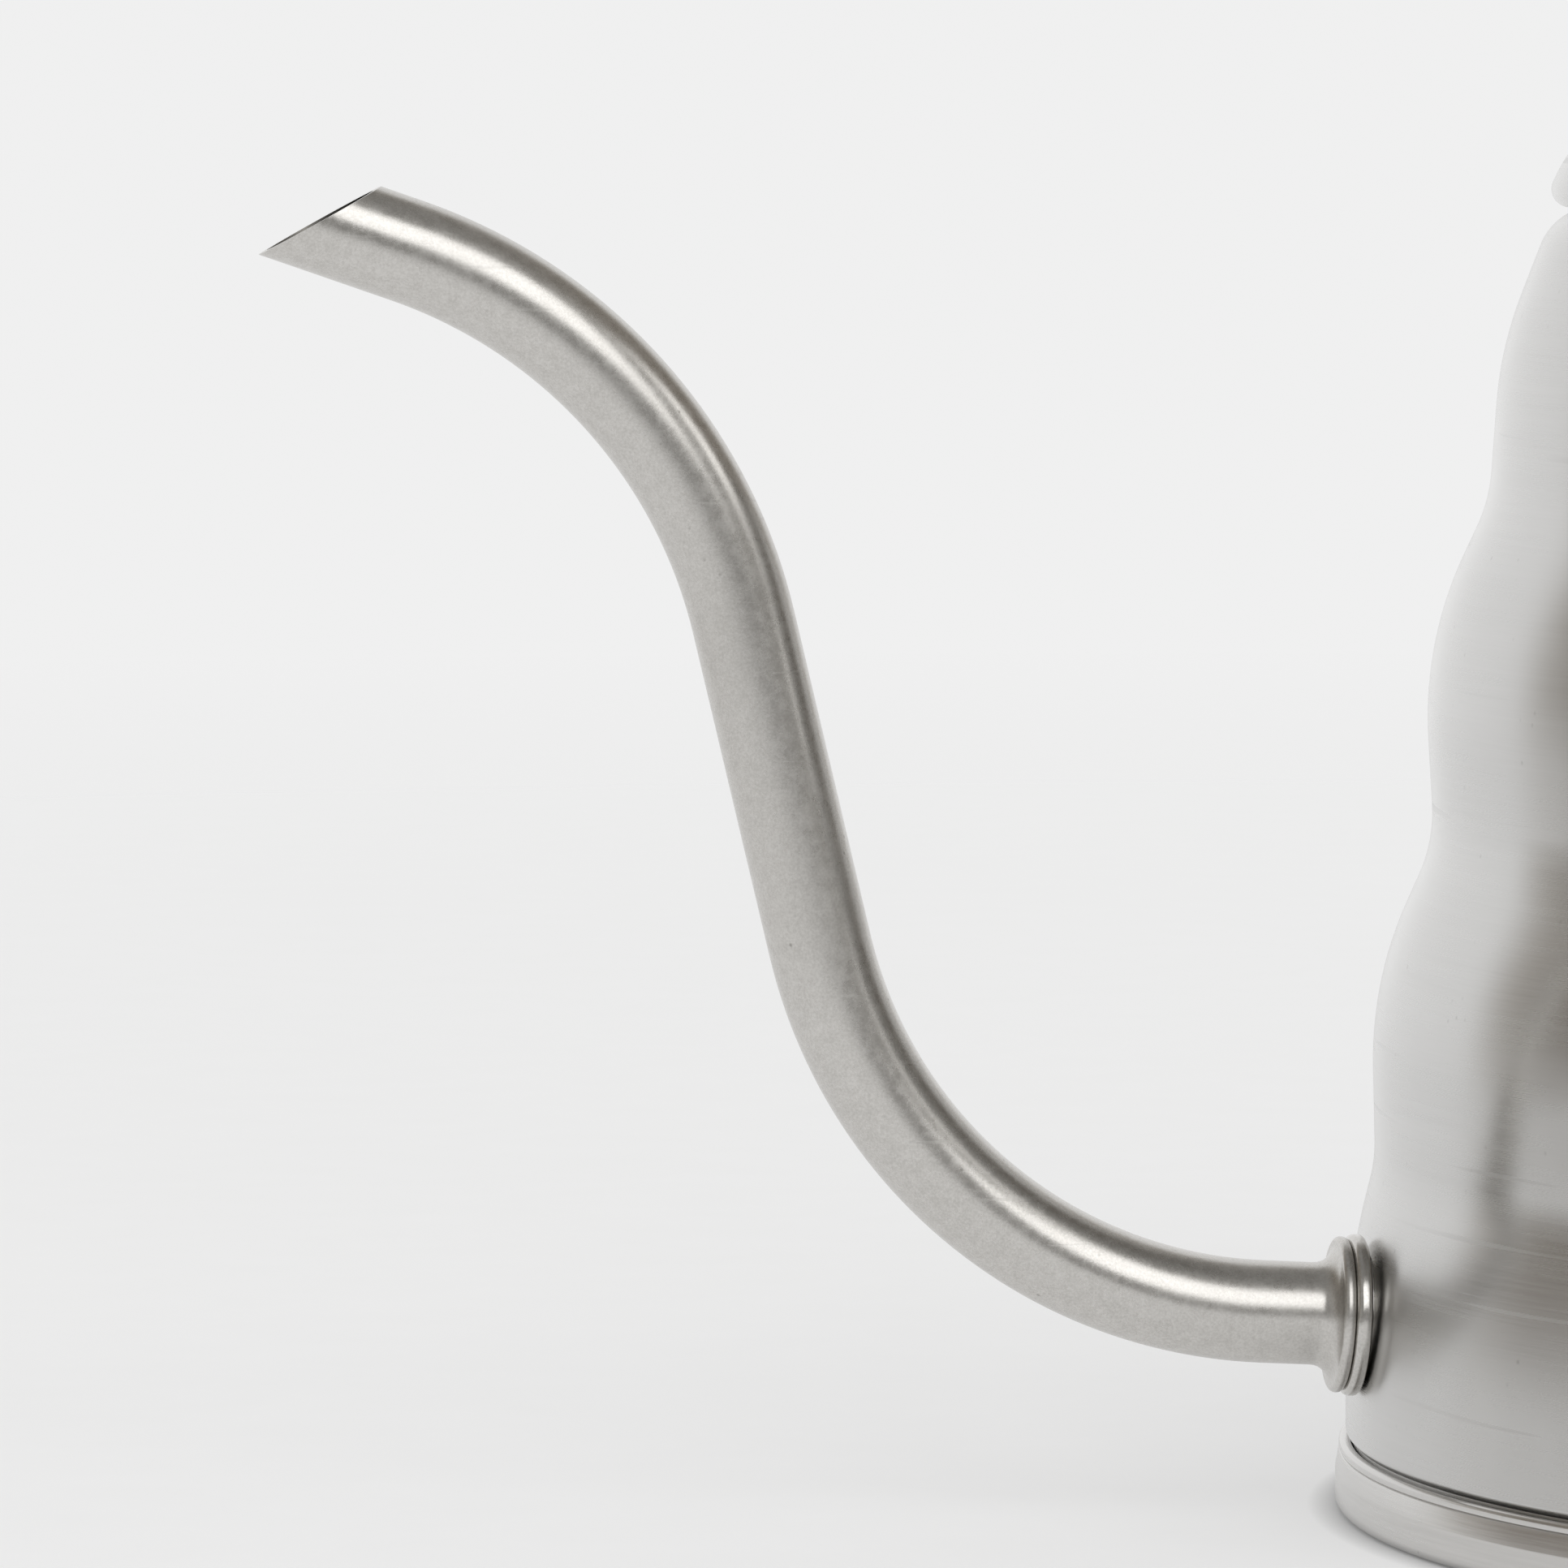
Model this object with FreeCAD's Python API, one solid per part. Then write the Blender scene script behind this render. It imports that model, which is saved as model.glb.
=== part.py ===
import FreeCAD, Part
import math
import os

from FreeCAD import Placement, Rotation, Vector

# Gooseneck kettle for the stove top, in millimetres.
# The origin is on the body's axis in the plane of the table, +Z is up,
# the spout points to -X and the handle to +X.

# Sheet and fits
sheet = 0.7
fixed_gap = 0.1
lid_gap = 0.3

# Base pan
base_radius = 72.0
pan_sheet = 0.8
base_rise = 1.2
foot_inner_radius = 60.0
foot_slope_run = 3.0
foot_rounding = 0.8
foot_bend = 2.0
pan_wall_height = 3.2
pan_wall_rounding = 1.0
pan_draw_in = 0.3
hem_height = 6.0
hem_thickness = 1.4
hem_groove_height = 5.1
hem_groove_depth = 0.2
hem_rounding = 0.45

# Body outline: ripples are counted from the top, heights stack from the table
# and insets are taken from the base radius
ripple_4_height = 30.6
ripple_3_height = 28.6
ripple_2_height = 30.3
ripple_1_height = 26.1
crest_4_inset = 0.9
crest_3_inset = 3.0
crest_2_inset = 7.4
crest_1_inset = 14.1
waist_3_inset = 3.4
waist_2_inset = 8.5
waist_1_inset = 13.2
shoulder_inset = 18.9
mouth_inset = 27.0
crest_drop = 12.6
bottom_crest_drop = 9.9
bottom_crest_rounding = 60.0
crest_rounding = 34.0
waist_rounding = 14.0
shoulder_rounding = 5.5
seam_step = 0.6
seam_rounding = 0.5
lip_depth = 6.0
lip_rounding = 2.0

# Spout and its collar
tube_diameter = 9.0
tube_wall = 0.6
root_height = 18.4
root_tilt = 3.0
root_straight = 6.76
lower_bend_radius = 42.5
lower_bend_turn = 73.7
rise_length = 29.0
upper_bend_radius = 45.1
upper_bend_turn = 57.5
tip_length = 8.0
lip_cut_angle = 29.0
flare_diameter = 10.4
flare_thickness = 0.95
flare_rounding = 0.8
flare_rim_rounding = 0.42
collar_diameter = 14.2
collar_thickness = 0.9
collar_rim_rounding = 0.4
collar_neck_diameter = 12.4
collar_neck_flare = 0.6
collar_foot_diameter = 15.0
collar_foot_edge = 0.3
collar_standoff = 0.95
collar_sleeve_diameter = 10.8
collar_lip_diameter = 12.2
collar_lip_thickness = 0.7
collar_lip_gap = 0.3

# Lid
lid_overhang = 0.4
bead_radius = 1.6
lid_rise = 13.0
lid_flank_angle = 66.0
lid_dome_slope = 8.0
lid_rounding = 13.5
knob_seat_radius = 13.0
knob_seat_rounding = 20.0
vent_diameter = 2.4
vent_circle_radius = 24.0
vent_count = 3
skirt_sheet = 0.6
skirt_gap = 0.4
skirt_depth = 8.0
skirt_rounding = 1.2

# Knob
cup_radius = 11.0
cup_thickness = 1.0
cup_rounding = 0.5
knob_height = 16.0
knob_foot_radius = 8.6
knob_waist_radius = 7.0
knob_waist_height = 4.6
knob_brim_radius = 13.4
knob_brim_height = 9.6
knob_crown_radius = 11.6
knob_crown_drop = 1.6
knob_foot_rounding = 0.8
knob_waist_rounding = 6.0
knob_brim_rounding = 2.2
knob_crown_rounding = 4.0

# Screws, washers and brass inserts
screw_diameter = 4.0
screw_hole_gap = 0.2
screw_head_diameter = 7.0
screw_head_height = 2.2
screw_head_rounding = 1.1
screw_cross_diameter = 4.2
screw_cross_width = 1.1
washer_diameter = 8.4
washer_thickness = 0.8
knob_insert_diameter = 6.4
knob_insert_length = 8.0
knob_thread_engagement = 6.0
grip_insert_diameter = 6.0
grip_insert_length = 3.6
grip_thread_engagement = 3.0

# Handle brackets
bracket_sheet = 1.5
saddle_width = 22.0
saddle_height = 16.0
saddle_rounding = 5.0
saddle_sweep = 40.0
tang_width = 12.0
tang_thickness = 2.5
tang_root_flare = 2.6
tang_length = 20.0
tang_rounding = 3.0
upper_bracket_height = 98.0
lower_bracket_height = 40.0
screw_from_tang_end = 6.0

# Grip
grip_stand_off = 4.0
grip_end_width = 17.0
grip_middle_width = 20.0
grip_thickness = 13.0
grip_corner_rounding = 5.5
grip_reach_past_base = 35.0
grip_lean = 3.0
grip_upper_bend = 19.0
grip_lower_bend = 18.0
grip_wave_depth = 1.3
grip_wave_count = 3
grip_station_count = 25
socket_gap = 0.2
head_recess = 3.2

axis_origin = Vector(0, 0, 0)
up = Vector(0, 0, 1)
shortest_edge = 1e-6


def tangent_reach(before, corner, after, rounding):
    turn = (corner - before).getAngle(after - corner)
    return rounding * math.tan(turn / 2)


def rounded(corners, closed=False):
    """Lines in the XZ plane joined by tangent arcs; a corner is (x, z, rounding)."""
    points = [Vector(x, 0, z) for x, z, _ in corners]
    count = len(points)
    inner = range(count) if closed else range(1, count - 1)
    reach = [0.0] * count
    for i in inner:
        reach[i] = tangent_reach(points[i - 1], points[i], points[(i + 1) % count], corners[i][2])
    share = [1.0] * count
    for i in range(count if closed else count - 1):
        j = (i + 1) % count
        room = (points[j] - points[i]).Length
        wanted = reach[i] + reach[j]
        if wanted > room:
            share[i] = min(share[i], room / wanted)
            share[j] = min(share[j], room / wanted)
    starts = list(points)
    ends = list(points)
    arcs = {}
    for i in inner:
        if reach[i] * share[i] < shortest_edge:
            continue
        back = (points[i - 1] - points[i]).normalize()
        ahead = (points[(i + 1) % count] - points[i]).normalize()
        starts[i] = points[i] + back * (reach[i] * share[i])
        ends[i] = points[i] + ahead * (reach[i] * share[i])
        radius = corners[i][2] * share[i]
        half = back.getAngle(ahead) / 2
        bisector = (back + ahead).normalize()
        middle = points[i] + bisector * (radius / math.sin(half) - radius)
        arcs[i] = Part.Arc(starts[i], middle, ends[i]).toShape()
    edges = []
    for i in range(count):
        if i in arcs:
            edges.append(arcs[i])
        next_start = starts[(i + 1) % count]
        if (closed or i < count - 1) and ends[i].distanceToPoint(next_start) > shortest_edge:
            edges.append(Part.LineSegment(ends[i], next_start).toShape())
    return edges


def shifted(corners, distance):
    """The same open outline moved to its left by a distance, with its roundings kept concentric."""
    normals = []
    for (x0, z0, _), (x1, z1, _) in zip(corners, corners[1:]):
        length = math.hypot(x1 - x0, z1 - z0)
        normals.append(((z0 - z1) / length, (x1 - x0) / length))
    moved = []
    for i, (x, z, rounding) in enumerate(corners):
        nx, nz = normals[max(i - 1, 0)]
        mx, mz = normals[min(i, len(normals) - 1)]
        scale = distance / (1 + nx * mx + nz * mz)
        left_turn = nx * mz - nz * mx > 0
        new_rounding = rounding - distance if left_turn else rounding + distance
        if rounding == 0:
            new_rounding = 0
        moved.append((x + (nx + mx) * scale, z + (nz + mz) * scale, max(new_rounding, 0)))
    return moved


def face_of(edges):
    return Part.Face(Part.Wire(Part.sortEdges(edges)[0]))


def outline_face(corners):
    return face_of(rounded(corners, closed=True))


def sheet_face(corners, thickness):
    """Section of a sheet whose visible face follows the corners, with its metal on their left."""
    front = rounded(corners)
    back_corners = shifted(corners, thickness)
    back = rounded(back_corners)
    caps = []
    for end in (0, -1):
        start = Vector(corners[end][0], 0, corners[end][1])
        stop = Vector(back_corners[end][0], 0, back_corners[end][1])
        caps.append(Part.LineSegment(start, stop).toShape())
    return face_of(front + back + caps)


def revolved(face, angle=360):
    return face.revolve(axis_origin, up, angle)


def cylinder(diameter, height, base, axis=up):
    return Part.makeCylinder(diameter / 2, height, base, axis)


def plate(width, height, rounding, depth):
    """Rounded rectangle in the YZ plane about the origin, extruded along +X."""
    half_width = width / 2
    half_height = height / 2
    corners = [
        (-half_width, -half_height, rounding),
        (half_width, -half_height, rounding),
        (half_width, half_height, rounding),
        (-half_width, half_height, rounding),
    ]
    face = outline_face(corners)
    face.rotate(axis_origin, up, 90)
    return face.extrude(Vector(depth, 0, 0))


# Heights and radii that several pieces share
waist_3_height = ripple_4_height
waist_2_height = waist_3_height + ripple_3_height
waist_1_height = waist_2_height + ripple_2_height
mouth_height = waist_1_height + ripple_1_height
crest_4_radius = base_radius - crest_4_inset
crest_3_radius = base_radius - crest_3_inset
crest_2_radius = base_radius - crest_2_inset
crest_1_radius = base_radius - crest_1_inset
waist_3_radius = base_radius - waist_3_inset
waist_2_radius = base_radius - waist_2_inset
waist_1_radius = base_radius - waist_1_inset
shoulder_radius = base_radius - shoulder_inset
mouth_radius = base_radius - mouth_inset
shell_foot_radius = base_radius - hem_thickness - fixed_gap
seam_height = hem_height + fixed_gap

body_corners = [
    (shell_foot_radius, pan_sheet, 0),
    (shell_foot_radius, seam_height, 0),
    (crest_4_radius, seam_height + seam_step, seam_rounding),
    (crest_4_radius, waist_3_height - bottom_crest_drop, bottom_crest_rounding),
    (waist_3_radius, waist_3_height, waist_rounding),
    (crest_3_radius, waist_3_height + ripple_3_height - crest_drop, crest_rounding),
    (waist_2_radius, waist_2_height, waist_rounding),
    (crest_2_radius, waist_1_height - crest_drop, crest_rounding),
    (waist_1_radius, waist_1_height, waist_rounding),
    (crest_1_radius, mouth_height - crest_drop, crest_rounding),
    (shoulder_radius, mouth_height, shoulder_rounding),
    (mouth_radius, mouth_height, lip_rounding),
    (mouth_radius, mouth_height - lip_depth, 0),
]


def wall_radius(height):
    """Outside radius of the shell at a height."""
    probe = Part.LineSegment(Vector(0, 0, height), Vector(2 * base_radius, 0, height)).toShape()
    wall = Part.Wire(rounded(body_corners[:-2]))
    return probe.distToShape(wall)[1][0][0].x


# Spout root: a point on the shell's outside and the direction the spout leaves it
tilt = math.radians(root_tilt)
root_point = Vector(-wall_radius(root_height), 0, root_height)
root_direction = Vector(-math.cos(tilt), 0, math.sin(tilt))
root_placement = Placement(root_point, Rotation(up, root_direction))
tube_radius = tube_diameter / 2
bore_radius = tube_radius - tube_wall
collar_face = collar_standoff + collar_thickness
lean_depth = wall_radius(root_height + tube_radius) - wall_radius(root_height - tube_radius)
wall_lean = abs(lean_depth) / tube_diameter


def at_root(shape):
    shape.Placement = root_placement.multiply(shape.Placement)
    return shape


def make_body_shell():
    shell = revolved(sheet_face(body_corners, sheet))
    drill = base_radius / 2
    hole = cylinder(collar_sleeve_diameter + 2 * fixed_gap, drill, Vector(0, 0, -drill / 2))
    return shell.cut(at_root(hole))


def make_base_pan():
    hem_inner_radius = base_radius - hem_thickness
    slope_radius = foot_inner_radius - foot_slope_run
    drawn_radius = base_radius - pan_draw_in
    section = [
        (0, base_rise, 0),
        (slope_radius, base_rise, foot_bend),
        (foot_inner_radius, 0, foot_bend),
        (base_radius, 0, foot_rounding),
        (base_radius, pan_wall_height, pan_wall_rounding),
        (drawn_radius, hem_groove_height - hem_groove_depth / 2, 0),
        (drawn_radius - hem_groove_depth, hem_groove_height, 0),
        (drawn_radius, hem_groove_height + hem_groove_depth / 2, 0),
        (drawn_radius, hem_height, hem_rounding),
        (hem_inner_radius, hem_height, hem_rounding),
        (hem_inner_radius, pan_sheet, 0),
        (foot_inner_radius, pan_sheet, foot_bend),
        (slope_radius, base_rise + pan_sheet, foot_bend),
        (0, base_rise + pan_sheet, 0),
    ]
    return revolved(outline_face(section))


def seat_corners():
    """The shell's outside with the clearance that a piece fixed on it keeps."""
    return shifted(body_corners[2:-2], -fixed_gap)


def make_spout_collar():
    """Bored ring with a flange, a flared foot cut to the shell and a lip behind the shell."""
    sleeve_radius = collar_sleeve_diameter / 2
    lip_radius = collar_lip_diameter / 2
    neck_radius = collar_neck_diameter / 2
    foot_radius = collar_foot_diameter / 2
    wall_sag = lip_radius ** 2 / (2 * wall_radius(root_height)) + lip_radius * wall_lean
    lip_top = -sheet - wall_sag - collar_lip_gap
    lip_bottom = lip_top - collar_lip_thickness
    sleeve = [
        (bore_radius, lip_bottom, 0),
        (lip_radius, lip_bottom, collar_lip_thickness / 3),
        (lip_radius, lip_top, collar_lip_thickness / 3),
        (sleeve_radius, lip_top, 0),
        (sleeve_radius, collar_standoff, 0),
        (collar_diameter / 2, collar_standoff, collar_rim_rounding),
        (collar_diameter / 2, collar_face, collar_rim_rounding),
        (bore_radius, collar_face, 0),
    ]
    foot = [
        (bore_radius, lip_top, 0),
        (foot_radius, lip_top, 0),
        (foot_radius, collar_foot_edge, 0),
        (neck_radius, collar_foot_edge, collar_neck_flare),
        (neck_radius, collar_standoff + collar_rim_rounding, 0),
        (bore_radius, collar_standoff + collar_rim_rounding, 0),
    ]
    seat = seat_corners()
    core = revolved(outline_face([(0, seat[0][1], 0)] + seat + [(0, seat[-1][1], 0)]))
    collar = at_root(revolved(outline_face(foot))).cut(core)
    return collar.fuse(at_root(revolved(outline_face(sleeve)))).removeSplitter()


def spout_route():
    """Centre line of the tube from the end of its flare, and the end's point and heading."""
    flare_end = collar_face + flare_thickness + flare_rounding
    position = root_point + root_direction * flare_end
    heading = tilt
    edges = []

    def forward(angle):
        return Vector(-math.cos(angle), 0, math.sin(angle))

    def straight(length):
        nonlocal position
        end = position + forward(heading) * length
        edges.append(Part.LineSegment(position, end).toShape())
        position = end

    def bend(radius, turn):
        nonlocal position, heading
        side = math.copysign(math.pi / 2, turn)
        centre = position + forward(heading + side) * radius
        middle = centre - forward(heading + turn / 2 + side) * radius
        end = centre - forward(heading + turn + side) * radius
        edges.append(Part.Arc(position, middle, end).toShape())
        position = end
        heading += turn

    straight(root_straight - flare_thickness - flare_rounding)
    bend(lower_bend_radius, math.radians(lower_bend_turn))
    straight(rise_length)
    bend(upper_bend_radius, -math.radians(upper_bend_turn))
    straight(tip_length)
    lip_centre = position
    straight(2 * tube_diameter)
    return Part.Wire(edges), lip_centre


def make_spout_tube():
    route, lip_centre = spout_route()
    start = route.Vertexes[0].Point
    rods = []
    for radius in (tube_radius, bore_radius):
        circle = Part.Wire(Part.makeCircle(radius, start, root_direction))
        rods.append(route.makePipe(Part.Face(circle)))
    flare_front = collar_face + flare_thickness
    flare_end = flare_front + flare_rounding
    section = [
        (bore_radius, collar_face, 0),
        (flare_diameter / 2, collar_face, flare_rim_rounding),
        (flare_diameter / 2, flare_front, flare_rim_rounding),
        (tube_radius, flare_front, flare_rounding),
        (tube_radius, flare_end + fixed_gap, 0),
        (bore_radius, flare_end + fixed_gap, 0),
    ]
    flare = at_root(revolved(outline_face(section)))
    tube = rods[0].cut(rods[1]).fuse(flare)
    size = 4 * tube_diameter
    waste = Part.makeBox(size, size, size, Vector(-size / 2, -size / 2, 0))
    waste.Placement = Placement(lip_centre, Rotation(Vector(0, 1, 0), -lip_cut_angle))
    return tube.cut(waste).removeSplitter()


# Lid: its rolled edge rests on the curve of the body's shoulder
bead_centre_radius = shoulder_radius + lid_overhang - bead_radius


def bead_seat_height():
    arc = [edge for edge in rounded(body_corners) if edge.Curve.TypeId == "Part::GeomCircle"][-2]
    reach = arc.Curve.Radius + bead_radius + lid_gap
    offset = bead_centre_radius - arc.Curve.Center.x
    return arc.Curve.Center.z + math.sqrt(reach ** 2 - offset ** 2)


bead_height = bead_seat_height()
lid_top = bead_height + lid_rise
skirt_radius = mouth_radius - skirt_gap
knob_base = lid_top + cup_thickness
screw_hole_diameter = screw_diameter + 2 * screw_hole_gap


def lid_corners():
    """Outside of the dome from its rolled edge to the middle."""
    flank = math.radians(lid_flank_angle)
    slope = math.tan(math.radians(lid_dome_slope))
    start_x = bead_centre_radius + bead_radius * math.sin(flank)
    start_z = bead_height + bead_radius * math.cos(flank)
    fall = slope * (start_x - knob_seat_radius)
    climb = (lid_top - fall - start_z) / (math.sin(flank) - slope * math.cos(flank))
    return [
        (start_x, start_z, 0),
        (start_x - climb * math.cos(flank), start_z + climb * math.sin(flank), lid_rounding),
        (knob_seat_radius, lid_top, knob_seat_rounding),
        (0, lid_top, 0),
    ]


def make_lid_dome():
    dome = revolved(sheet_face(lid_corners(), sheet))
    bead = Part.makeTorus(bead_centre_radius, bead_radius, Vector(0, 0, bead_height))
    dome = dome.fuse(bead)
    drill_length = lid_rise + 2 * bead_radius
    dome = dome.cut(cylinder(screw_hole_diameter, drill_length, Vector(0, 0, bead_height)))
    for i in range(vent_count):
        angle = 2 * math.pi * (i + 0.5) / vent_count
        place = Vector(math.cos(angle), math.sin(angle), 0) * vent_circle_radius
        place.z = bead_height
        dome = dome.cut(cylinder(vent_diameter, drill_length, place))
    return dome.removeSplitter()


def make_lid_skirt():
    flange_bottom = mouth_height + lid_gap
    corners = [
        (bead_centre_radius - bead_radius, flange_bottom, 0),
        (skirt_radius, flange_bottom, skirt_rounding),
        (skirt_radius, flange_bottom - skirt_depth, 0),
    ]
    return revolved(sheet_face(corners, -skirt_sheet))


def make_knob_cup():
    section = [
        (screw_hole_diameter / 2, lid_top, 0),
        (cup_radius, lid_top, 0),
        (cup_radius, lid_top + cup_thickness, cup_rounding),
        (screw_hole_diameter / 2, lid_top + cup_thickness, 0),
    ]
    return revolved(outline_face(section))


def make_lid_knob():
    pocket_radius = knob_insert_diameter / 2 + fixed_gap / 2
    pocket_top = knob_base + knob_insert_length + fixed_gap
    knob_top = knob_base + knob_height
    section = [
        (pocket_radius, knob_base, 0),
        (knob_foot_radius, knob_base, knob_foot_rounding),
        (knob_waist_radius, knob_base + knob_waist_height, knob_waist_rounding),
        (knob_brim_radius, knob_base + knob_brim_height, knob_brim_rounding),
        (knob_crown_radius, knob_top - knob_crown_drop, knob_crown_rounding),
        (0, knob_top, 0),
        (0, pocket_top, 0),
        (pocket_radius, pocket_top, 0),
    ]
    return revolved(outline_face(section))


def make_insert(diameter, length, base):
    bore = cylinder(screw_diameter + fixed_gap, length, base)
    return cylinder(diameter, length, base).cut(bore)


def make_washer(base):
    hole = cylinder(screw_hole_diameter, washer_thickness, base)
    return cylinder(washer_diameter, washer_thickness, base).cut(hole)


def make_screw(seat, length):
    """Pan-head screw pointing up, with its head below the seat."""
    head_radius = screw_head_diameter / 2
    shank_radius = screw_diameter / 2
    section = [
        (0, -screw_head_height, 0),
        (head_radius, -screw_head_height, screw_head_rounding),
        (head_radius, 0, 0),
        (shank_radius, 0, 0),
        (shank_radius, length, 0),
        (0, length, 0),
    ]
    screw = revolved(outline_face(section))
    cross_depth = screw_head_height / 2
    arm = Part.makeBox(screw_cross_diameter, screw_cross_width, cross_depth)
    arm.translate(Vector(-screw_cross_diameter / 2, -screw_cross_width / 2, -screw_head_height))
    for turn in (0, 90):
        arm.rotate(axis_origin, up, turn)
        screw = screw.cut(arm)
    screw.translate(seat)
    return screw


# Handle: saddles on the shell, tangs into the grip
upper_tang_root = wall_radius(upper_bracket_height) + fixed_gap
lower_tang_root = wall_radius(lower_bracket_height) + fixed_gap
upper_tang_end = upper_tang_root + bracket_sheet + tang_length
lower_tang_end = lower_tang_root + bracket_sheet + tang_length
upper_screw_x = upper_tang_end - screw_from_tang_end
lower_screw_x = lower_tang_end - screw_from_tang_end
grip_half = grip_thickness / 2
grip_middle_x = base_radius + grip_reach_past_base - grip_half
screw_places = [(upper_screw_x, upper_bracket_height), (lower_screw_x, lower_bracket_height)]
insert_offset = tang_thickness / 2 + socket_gap
washer_seat = head_recess - grip_half


def make_bracket(height, tang_root, tang_end):
    """Saddle that follows the ripples of the shell, with a flat tang for the grip."""
    strip = revolved(sheet_face(seat_corners(), -bracket_sheet), saddle_sweep)
    strip.rotate(axis_origin, up, -saddle_sweep / 2)
    blank = plate(saddle_width, saddle_height, saddle_rounding, 2 * base_radius)
    blank.translate(Vector(0, 0, height))
    saddle = strip.common(blank)
    half = tang_thickness / 2
    root = tang_root + bracket_sheet / 2
    shoulder = tang_root + bracket_sheet
    side = [
        (root, -half - tang_root_flare, 0),
        (shoulder, -half - tang_root_flare, 0),
        (shoulder, -half, tang_root_flare),
        (tang_end, -half, 0),
        (tang_end, half, 0),
        (shoulder, half, tang_root_flare),
        (shoulder, half + tang_root_flare, 0),
        (root, half + tang_root_flare, 0),
    ]
    tang = outline_face(side).extrude(Vector(0, tang_width, 0))
    tang.translate(Vector(0, -tang_width / 2, height))
    end_edges = [edge for edge in tang.Edges if edge.BoundBox.XMin > tang_end - tang_rounding]
    corner_edges = [edge for edge in end_edges if edge.BoundBox.ZLength > half]
    tang = tang.makeFillet(tang_rounding, corner_edges)
    below = Vector(tang_end - screw_from_tang_end, 0, height - tang_thickness)
    hole = cylinder(screw_hole_diameter, 2 * tang_thickness, below)
    return saddle.fuse(tang).cut(hole).removeSplitter()


def grip_stations():
    """Points of the grip's centre line with their headings and their share of the curved length."""
    upper_start = upper_tang_root + bracket_sheet + grip_stand_off
    lower_start = lower_tang_root + bracket_sheet + grip_stand_off
    edges = rounded([
        (upper_start, upper_bracket_height, 0),
        (grip_middle_x - grip_lean, upper_bracket_height, grip_upper_bend),
        (grip_middle_x, lower_bracket_height, grip_lower_bend),
        (lower_start, lower_bracket_height, 0),
    ])
    curved_start = edges[0].Length
    curved_length = sum(edge.Length for edge in edges[1:-1])
    total = sum(edge.Length for edge in edges)
    stations = []
    for i in range(grip_station_count):
        distance = total * i / (grip_station_count - 1)
        share = min(max((distance - curved_start) / curved_length, 0), 1)
        for edge in edges:
            if distance <= edge.Length or edge is edges[-1]:
                break
            distance -= edge.Length
        place = edge.getParameterByLength(min(distance, edge.Length))
        stations.append((edge.valueAt(place), edge.tangentAt(place), share))
    return stations


def grip_section(point, heading, share):
    """Rounded section, wider and waved on the finger side between the two ends."""
    across = Vector(0, 1, 0)
    inward = Vector(heading.z, 0, -heading.x)
    half_width = (grip_end_width + (grip_middle_width - grip_end_width) * math.sin(math.pi * share)) / 2
    inner = grip_half - grip_wave_depth * math.sin(math.pi * grip_wave_count * share) ** 2
    wire = Part.Wire(rounded([
        (-half_width, -grip_half, grip_corner_rounding),
        (half_width, -grip_half, grip_corner_rounding),
        (half_width, inner, grip_corner_rounding),
        (-half_width, inner, grip_corner_rounding),
    ], closed=True))
    wire.Placement = Placement(point, Rotation(across, inward.cross(across), inward, "XYZ"))
    return wire


def make_handle_grip():
    sections = [grip_section(*station) for station in grip_stations()]
    grip = Part.makeLoft(sections, True)
    socket_width = tang_width + 2 * socket_gap
    socket_thickness = tang_thickness + 2 * socket_gap
    ends = [
        (upper_tang_root, upper_tang_end, upper_bracket_height),
        (lower_tang_root, lower_tang_end, lower_bracket_height),
    ]
    for tang_root, tang_end, height in ends:
        socket = Part.makeBox(tang_end + socket_gap - tang_root, socket_width, socket_thickness)
        socket.translate(Vector(tang_root, -socket_width / 2, height - socket_thickness / 2))
        grip = grip.cut(socket)
    for x, height in screw_places:
        below = Vector(x, 0, height - grip_thickness)
        recess_depth = grip_half + head_recess
        grip = grip.cut(cylinder(washer_diameter + 2 * screw_hole_gap, recess_depth, below))
        grip = grip.cut(cylinder(screw_hole_diameter, grip_thickness, below))
        pocket = Vector(x, 0, height)
        pocket_depth = insert_offset + grip_insert_length + fixed_gap
        grip = grip.cut(cylinder(grip_insert_diameter + fixed_gap, pocket_depth, pocket))
    return grip


def make_handle_screws():
    length = washer_thickness + grip_half - head_recess + insert_offset + grip_thread_engagement
    seats = [Vector(x, 0, height + washer_seat - washer_thickness) for x, height in screw_places]
    return Part.makeCompound([make_screw(seat, length) for seat in seats])


def make_handle_washers():
    bases = [Vector(x, 0, height + washer_seat - washer_thickness) for x, height in screw_places]
    return Part.makeCompound([make_washer(base) for base in bases])


def make_handle_inserts():
    inserts = []
    for x, height in screw_places:
        base = Vector(x, 0, height + insert_offset)
        inserts.append(make_insert(grip_insert_diameter, grip_insert_length, base))
    return Part.makeCompound(inserts)


knob_screw_seat = Vector(0, 0, lid_top - sheet - washer_thickness)
knob_screw_length = washer_thickness + sheet + cup_thickness + knob_thread_engagement

pieces = {
    "body_shell": make_body_shell(),
    "base_pan": make_base_pan(),
    "spout_collar": make_spout_collar(),
    "spout_tube": make_spout_tube(),
    "lid_dome": make_lid_dome(),
    "lid_skirt": make_lid_skirt(),
    "knob_cup": make_knob_cup(),
    "lid_knob": make_lid_knob(),
    "knob_insert": make_insert(knob_insert_diameter, knob_insert_length, Vector(0, 0, knob_base)),
    "knob_washer": make_washer(knob_screw_seat),
    "knob_screw": make_screw(knob_screw_seat, knob_screw_length),
    "handle_upper_bracket": make_bracket(upper_bracket_height, upper_tang_root, upper_tang_end),
    "handle_lower_bracket": make_bracket(lower_bracket_height, lower_tang_root, lower_tang_end),
    "handle_grip": make_handle_grip(),
    "handle_screws": make_handle_screws(),
    "handle_washers": make_handle_washers(),
    "handle_inserts": make_handle_inserts(),
}

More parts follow.
